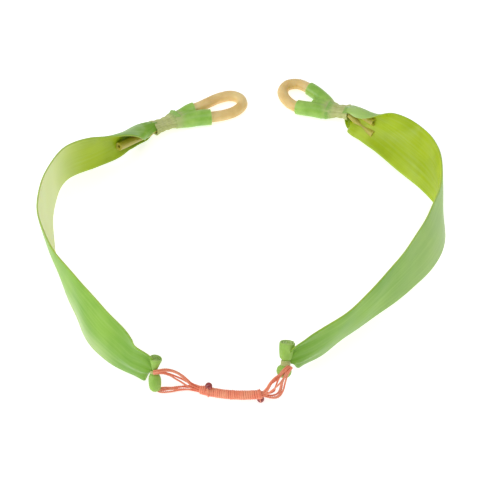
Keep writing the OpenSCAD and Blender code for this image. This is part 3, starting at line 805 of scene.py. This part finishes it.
def strip(side):
    """One flat strip on edge, gathered into its roll at one end and its neck at the other."""
    stations = (STRIP_STARTS[side],) + STRIPS[side] + (STRIP_ENDS[side],)
    rows = sample(stations, 0.0006, ease=6)
    p = rows[:, :3]
    run = lengths(p)
    to_roll, to_neck = run, run[-1] - run
    along = unit(np.gradient(p, axis=0))
    out = unit(np.cross(UP, along)) * OUTWARD[side]
    rise = unit(UP - along * along[:, 2:])
    lean = np.radians(rows[:, 3])[:, None]
    w = np.cos(lean) * rise + np.sin(lean) * out
    m = np.cos(lean) * out - np.sin(lean) * rise
    arc = np.radians(rows[:, 4])[:, None]
    width = STRIP_WIDTH * rows[:, 5][:, None]
    hook = HOOKS[side] * soft_step(to_neck, 0.028, 0.015)
    hook = (hook * soft_step(to_neck, 0.0, 0.004))[:, None]
    n = STRIP_POINTS
    s = np.linspace(-0.5, 0.5, n)[None]
    a = arc * (s + hook * s * s)
    roll_fold = np.exp(-((to_roll / 0.011) ** 2))[:, None]
    neck_fold = np.exp(-((to_neck / 0.007) ** 2))[:, None]
    wave = (roll_fold * (0.0009 * np.cos(2 * math.pi * (1.6 * s + 0.1))
                         + 0.0004 * np.cos(2 * math.pi * (3.4 * s + 0.35)))
            * soft_step(to_roll, 0.0, 0.003)[:, None]
            + neck_fold * 0.00025 * np.cos(2 * math.pi * 5 * s))
    idle = (0.00022 * np.sin(2 * math.pi * (run / 0.043 + 0.3))[:, None] * np.cos(3.2 * s + 0.4)
            + 0.00016 * np.sin(2 * math.pi * (run / 0.021))[:, None] * np.sin(5.1 * s))
    offset = wave + idle * (1 - roll_fold) * (1 - neck_fold)
    gap = width / (n - 1)
    across = middle_sum(np.cos(a)) * gap + offset * np.sin(a)
    depth = -middle_sum(np.sin(a)) * gap + offset * np.cos(a)
    ta, td = np.gradient(across, axis=1), np.gradient(depth, axis=1)
    size = np.hypot(ta, td)
    ta, td = ta / size, td / size
    thin = 1 - 0.3 * roll_fold - 0.3 * neck_fold
    half = STRIP_THICKNESS / 2 * thin
    w3, m3 = w[:, None], m[:, None]

    def spot(x, y):
        return p[:, None] + w3 * x[..., None] + m3 * y[..., None]

    face = spot(across - td * half, depth + ta * half)
    back = spot(across + td * half, depth - ta * half)

    def rim(j, sign, level):
        x = across[:, [j]] + sign * ta[:, [j]] * half * 0.45
        y = depth[:, [j]] + sign * td[:, [j]] * half * 0.45
        return spot(x - td[:, [j]] * half * level, y + ta[:, [j]] * half * level)

    rings = np.concatenate([rim(0, -1, 0.6), face, rim(-1, 1, 0.6), rim(-1, 1, -0.6),
                            back[:, ::-1], rim(0, -1, -0.6)], axis=1)
    count, points_across = rings.shape[:2]
    paint = np.zeros((count, points_across, 4))
    paint[:, n + 3:2 * n + 3, 0] = 1
    # Green: the cut edges, painted paler as a highlight.
    for j in (0, n + 1, n + 2, 2 * n + 3):
        paint[:, j, 1] = 1
        paint[:, j, 0] = 0.5
    # Blue: painted shade in the gathers by the roll and the neck, and on the left strip's inner face
    # towards its neck.
    shade = 0.6 * np.exp(-((to_roll / 0.016) ** 2))[:, None] + 0.5 * neck_fold
    if side == "left":
        shade = shade + 0.5 * soft_step(run, 0.125, 0.155)[:, None] * paint[..., 0]
    paint[..., 2] = np.minimum(1, shade)
    level = np.concatenate([[-0.5], s[0], [0.5, 0.5], s[0][::-1], [-0.5]]) * STRIP_WIDTH
    # Alpha: painted light, a pale glow through the left bend and pale reflections along the outer
    # faces.
    paint[..., 3] = painted_light_patches(side, run[:, None], level[None] / STRIP_WIDTH, paint[..., 0])
    uv = np.stack(np.broadcast_arrays(run[:, None], level[None]), axis=-1)
    made = piece(f"{side}_strip", rings, strip_look, uv=uv, paint=paint.reshape(-1, 4))
    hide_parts(f"{side}_strip_near", f"{side}_strip_far")
    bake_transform(made)


# ---- the rolled ends ----
def roll_axes(side):
    """The roll's own x, y and z, leant over."""
    back, lean = (math.radians(x) for x in TILTS[side])
    ry = np.array([[math.cos(lean), 0, math.sin(lean)], [0, 1, 0],
                   [-math.sin(lean), 0, math.cos(lean)]])
    rx = np.array([[1, 0, 0], [0, math.cos(back), math.sin(back)],
                   [0, -math.sin(back), math.cos(back)]])
    return (ry @ rx).T


def rolled_end(side):
    """The strip's end wound into a scroll and pinched at its waist."""
    x, y, z = roll_axes(side)
    profile = np.array(ROLLS[side])
    swing = np.array([{"left": -0.1, "right": 0.0}[side], 0, 0])
    rows = sample(np.column_stack([profile[:, 0], np.zeros(len(profile)), profile[:, 1]]), 0.00022)
    radii, heights = rows[:, 0], rows[:, 2]
    turns, inner = 3.2, 0.12
    n = 170
    angle = np.linspace(0, 2 * math.pi * turns, n)
    layer = (1 - inner) / turns
    lead = OUTWARD[side]
    seam = {"left": 2.7, "right": 0.5}[side]
    share = 1.05 * (inner + (1 - inner) * angle / angle[-1])
    tip = soft_step(angle[-1] - angle, 0, 1.1)
    outside = share - layer * 0.82 * (1 - tip)
    inside = outside - layer * 0.9 * (0.14 + 0.86 * tip)
    rim = np.minimum(1, np.minimum(heights - heights[0], heights[-1] - heights) / 0.0004)
    rings = []
    for r, h, edge in zip(radii, heights, rim):
        middle = (outside + inside) / 2
        half = (outside - inside) / 2 * (0.35 + 0.65 * math.sqrt(max(edge, 0)))
        crumple = 1 + 0.035 * np.sin(5 * angle + 400 * h) * math.exp(-(h / 0.0022) ** 2)
        sag = 0.00012 * np.sin(angle + 0.8) * soft_step(h, heights[-1] - 0.003, heights[-1])
        for_ring = []
        for edge_line in ((middle + half) * r * crumple, ((middle - half) * r * crumple)[::-1]):
            a = angle if len(for_ring) == 0 else angle[::-1]
            lift = sag if len(for_ring) == 0 else sag[::-1]
            a = lead * (a - angle[-1]) + seam
            for_ring.append(np.outer(edge_line * np.cos(a), x) + np.outer(edge_line * np.sin(a), y)
                            + np.outer(h + lift, z))
        rings.append(WAISTS[side] + swing * min(h, 0) + np.concatenate(for_ring))
    paint = blank_paint(len(rings), 2 * n)
    # Green: the cut rims and the last turn's end, painted paler as a highlight.
    paint[..., 1] = (1 - rim)[:, None]
    paint[:, n - 3:n + 3, 1] = 1
    made = piece(f"{side}_scroll", rings, roll_look, paint=paint.reshape(-1, 4))
    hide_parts(f"{side}_rolled_end")
    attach(made, f"{side}_band")


def roll_tie(side):
    """Turns of waxed thread round the waist."""
    x, y, z = roll_axes(side)
    radius = {"left": 0.0012, "right": 0.0015}[side] + TIE_DIAMETER / 2
    turns = {"left": 3, "right": 5}[side]
    t = np.linspace(0, turns, turns * 40 + 1)
    grow = 1 + 0.06 * np.sin(2 * math.pi * t * 0.37)
    pitch = TIE_DIAMETER * 0.98
    height = (t - turns / 2) * pitch
    a = 2 * math.pi * t + 2.2
    points = (WAISTS[side] + np.outer(radius * grow * np.cos(a), x)
              + np.outer(radius * grow * np.sin(a), y) + np.outer(height, z))
    rings = tube_rings(points, [TIE_DIAMETER / 2], 12, 3, 0.09, 4000.0, first_up=tuple(z))
    made = piece(f"{side}_waist_thread", rings, tie_look,
                 paint=groove_shade_paint(len(points), 12, 3, 4000.0, points))
    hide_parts(f"{side}_roll_tie")
    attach(made, f"{side}_band")


# ---- the loops ----
def loop_tube(side):
    """The folded amber tube with both its tails, as one hollow piece."""
    far_tail, near_tail = TAILS[side]
    rows = sample(tuple(far_tail[::-1]) + TUBES[side] + tuple(near_tail), 0.0005, ease=8)
    points, radii = rows[:, :3], rows[:, 3]
    sides = 28
    rings = pipe_rings(points, radii, sides, TUBE_BORE_SHARE)
    neck = np.array(LOOP_POINTS[side])
    to_eye = np.array(TUBES[side][8][:3]) - neck
    # Red: the tails past the neck, for painted shade under the strip's latex.
    here = soft_step(np.linalg.norm(points - neck, axis=1), 0, 0.001)
    tail_shade = np.where(points @ to_eye < neck @ to_eye, here, 0)
    level = np.concatenate([tail_shade[:1], tail_shade, tail_shade[-1:], tail_shade[::-1]])
    paint = blank_paint(len(rings), sides)
    paint[..., 0] = level[:, None]
    made = piece(f"{side}_amber_tube", rings, tube_look, closed=True, paint=paint.reshape(-1, 4))
    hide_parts(f"{side}_loop_tube", f"{side}_tube_tails")
    bend_at_neck(made)


def neck_way(side):
    """The way a neck binding runs, towards the eye."""
    rows = np.array(NECKS[side])
    return unit(rows[1, :3] - rows[0, :3])


def bend_at_neck(made):
    """Bakes a piece's placement into its mesh."""
    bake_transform(made)


def neck_binding(side):
    """Stretched latex bound round both tube legs, with ridges along it."""
    neck = list(NECKS[side])
    first = np.array(neck[0])
    way = np.append(neck_way(side) * -0.0022, [0, 0])
    flared = first + way
    flared[3:] = (0.0041, 0.0029)
    last = np.array(neck[-1])
    onward = np.append(unit(last[:3] - np.array(neck[-2])[:3]) * 0.0026, [0.0012, 0.0005])
    rows = sample([flared, *neck, last + onward], 0.0002, ease=4)
    points = rows[:, :3]
    _, across, up = frames(points)
    sides = 72
    around = np.linspace(0, 2 * math.pi, sides, endpoint=False)
    run = lengths(points)
    ridges = (0.00013 * np.cos(9 * around + 0.6) + 0.0001 * np.cos(17 * around + 2.1)
              + 0.00006 * np.cos(29 * around + 4))
    swell = 0.00012 * np.sin(2 * math.pi * run / 0.0031)[:, None]
    half_w = rows[:, 3:4] + ridges + swell
    half_h = rows[:, 4:5] + ridges + swell
    outer = oval_rings(points, across, up, half_w, half_h, around)
    inner = oval_rings(points, across, up, half_w - BINDING_WALL, half_h - BINDING_WALL, around)
    rings = np.concatenate([outer, inner[::-1]])
    green = soft_step(run, run[-1] * 0.62, run[-1])
    paint = blank_paint(len(rings), sides)
    paint[..., 0] = np.concatenate([green, green[::-1]])[:, None]
    level = np.concatenate([run, run[::-1]])[:, None]
    uv = np.stack(np.broadcast_arrays(level, around[None] * 0.003), axis=-1)
    made = piece(f"{side}_neck_wrap", rings, binding_look, closed=True, uv=uv,
                 paint=paint.reshape(-1, 4))
    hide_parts(f"{side}_neck_binding")
    bend_at_neck(made)


def sleeve(side, leg, first, last, grow):
    """(points, radii) along part of one tube leg; leg is 0 for the first leg, 1 for the last."""
    rows = np.array(TUBES[side])
    rows = rows if leg == 0 else rows[::-1]
    rows = sample(rows, 0.0004, ease=4)
    run = lengths(rows[:, :3])
    keep = (run >= first) & (run <= last)
    return rows[keep, :3], rows[keep, 3] + grow


def sleeve_point(side, leg, share):
    """A point on one leg's middle line, at a share of the web's length."""
    first = WRAP_SPANS[side][leg][0]
    points, _ = sleeve(side, leg, first, first + WEB_LENGTHS[side], 0)
    return points[int(round(share * (len(points) - 1)))]


def web_rings(side):
    """Rings of the latex that spans the fork between the two legs."""
    shares = np.linspace(0, 1, WEB_RINGS)
    one = np.array([sleeve_point(side, 0, f) for f in shares])
    other = np.array([sleeve_point(side, 1, f) for f in shares])
    middle = (one + other) / 2
    gap = np.linalg.norm(one - other, axis=1)
    _, across, up = frames(middle)
    around = np.linspace(0, 2 * math.pi, 32, endpoint=False)
    half_height = np.interp(shares, (0, 0.6, 1), (0.0027, 0.0026, 0.0012))[:, None]
    return oval_rings(middle, across, up, (gap / 2)[:, None], half_height, around)


def melted(made):
    """Makes one smooth skin of overlapping solids."""
    remesh = made.modifiers.new("remesh", "REMESH")
    remesh.mode = "VOXEL"
    remesh.voxel_size = 0.00024
    smooth = made.modifiers.new("smooth", "SMOOTH")
    smooth.iterations = 10
    smooth.factor = 0.5
    bpy.context.view_layer.update()
    done = bpy.data.meshes.new_from_object(
        made.evaluated_get(bpy.context.evaluated_depsgraph_get()))
    made.modifiers.clear()
    made.data = done


def cut_square(work, place, along):
    """Cuts off what lies past a plane across one leg, and closes the end."""
    near = [v for v in work.verts
            if np.linalg.norm(np.array(v.co) - place - along * 0.001) < 0.0046]
    chosen = set(near)
    edges = [e for e in work.edges if e.verts[0] in chosen and e.verts[1] in chosen]
    faces = [f for f in work.faces if all(v in chosen for v in f.verts)]
    bmesh.ops.bisect_plane(work, geom=near + edges + faces, plane_co=Vector(place),
                           plane_no=Vector(along), clear_outer=True)
    rim = [e for e in work.edges if e.is_boundary]
    if rim:
        bmesh.ops.holes_fill(work, edges=rim, sides=0)


def wrap_paint(side, mesh, cuts):
    """Paints the wrap: red where it pales towards the neck, green along its cut ends for a painted
    highlight.
    """
    points = np.array([v.co for v in mesh.vertices])
    neck = np.array(NECKS[side][-1][:3])
    pale = 1 - soft_step(np.linalg.norm(points - neck, axis=1), 0.003, 0.0075)
    edge = np.zeros(len(points))
    for place, along in cuts:
        close = np.linalg.norm(points - place, axis=1) < 0.0042
        edge = np.maximum(edge, close * np.exp(-((points - place) @ along / 0.0003) ** 2))
    paint = np.stack([pale, edge, np.zeros(len(points)), np.ones(len(points))], axis=1)
    colours = (mesh.color_attributes.get("paint")
               or mesh.color_attributes.new("paint", "FLOAT_COLOR", "POINT"))
    colours.data.foreach_set("color", paint.astype(np.float32).reshape(-1))


def strip_end_wrap(side):
    """The strip's end, forked and wrapped round both tube legs, cut off square."""
    parts = []
    cuts = []
    for leg in (0, 1):
        first, last = WRAP_SPANS[side][leg]
        points, radii = sleeve(side, leg, first, last + 0.0012, WRAP_WALLS[side][leg])
        run = lengths(points)
        radii = radii + 0.0003 * (1 - soft_step(run, 0.002, 0.009))
        parts.append(piece(f"{side}_sleeve_{leg}", tube_rings(points, radii, 32), wrap_look))
        at = int(np.argmin(np.abs(run - (last - first))))
        cuts.append((points[at], unit(points[at] - points[at - 1])))
    parts.append(piece(f"{side}_web", web_rings(side), wrap_look))
    made = joined(f"{side}_forked_wrap", parts)
    melted(made)
    work = bmesh.new()
    work.from_mesh(made.data)
    for place, along in cuts:
        cut_square(work, place, along)
    smooth_shading(work)
    work.to_mesh(made.data)
    work.free()
    wrap_paint(side, made.data, cuts)
    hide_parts(f"{side}_strip_end_wrap")
    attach(made, f"{side}_loop")


# ---- everything ----
camera()
cord_look = twisted_cord("cord", srgb(200, 84, 58), srgb(246, 134, 100), srgb(252, 170, 134), 2600)
serving_look = twisted_cord("serving_thread", srgb(200, 84, 58), srgb(250, 142, 110),
                            srgb(254, 172, 134), 3000)
for side in SIDES:
    for number in range(1, 2 * CORDS_IN_GROUP + 1):
        cord(side, number)
serving()
bead_look = bead_gloss()
bead("left", 0.16, -8)
bead("right", 0.95, 180)
strip_look = strip_latex()
roll_look = rolled_latex()
tie_look = tie_thread()
tube_look = tube_latex()
wrap_look = wrap_latex()
binding_look = binding_latex()
for side in SIDES:
    strip(side)
    rolled_end(side)
    roll_tie(side)
    loop_tube(side)
    strip_end_wrap(side)
    neck_binding(side)
studio()
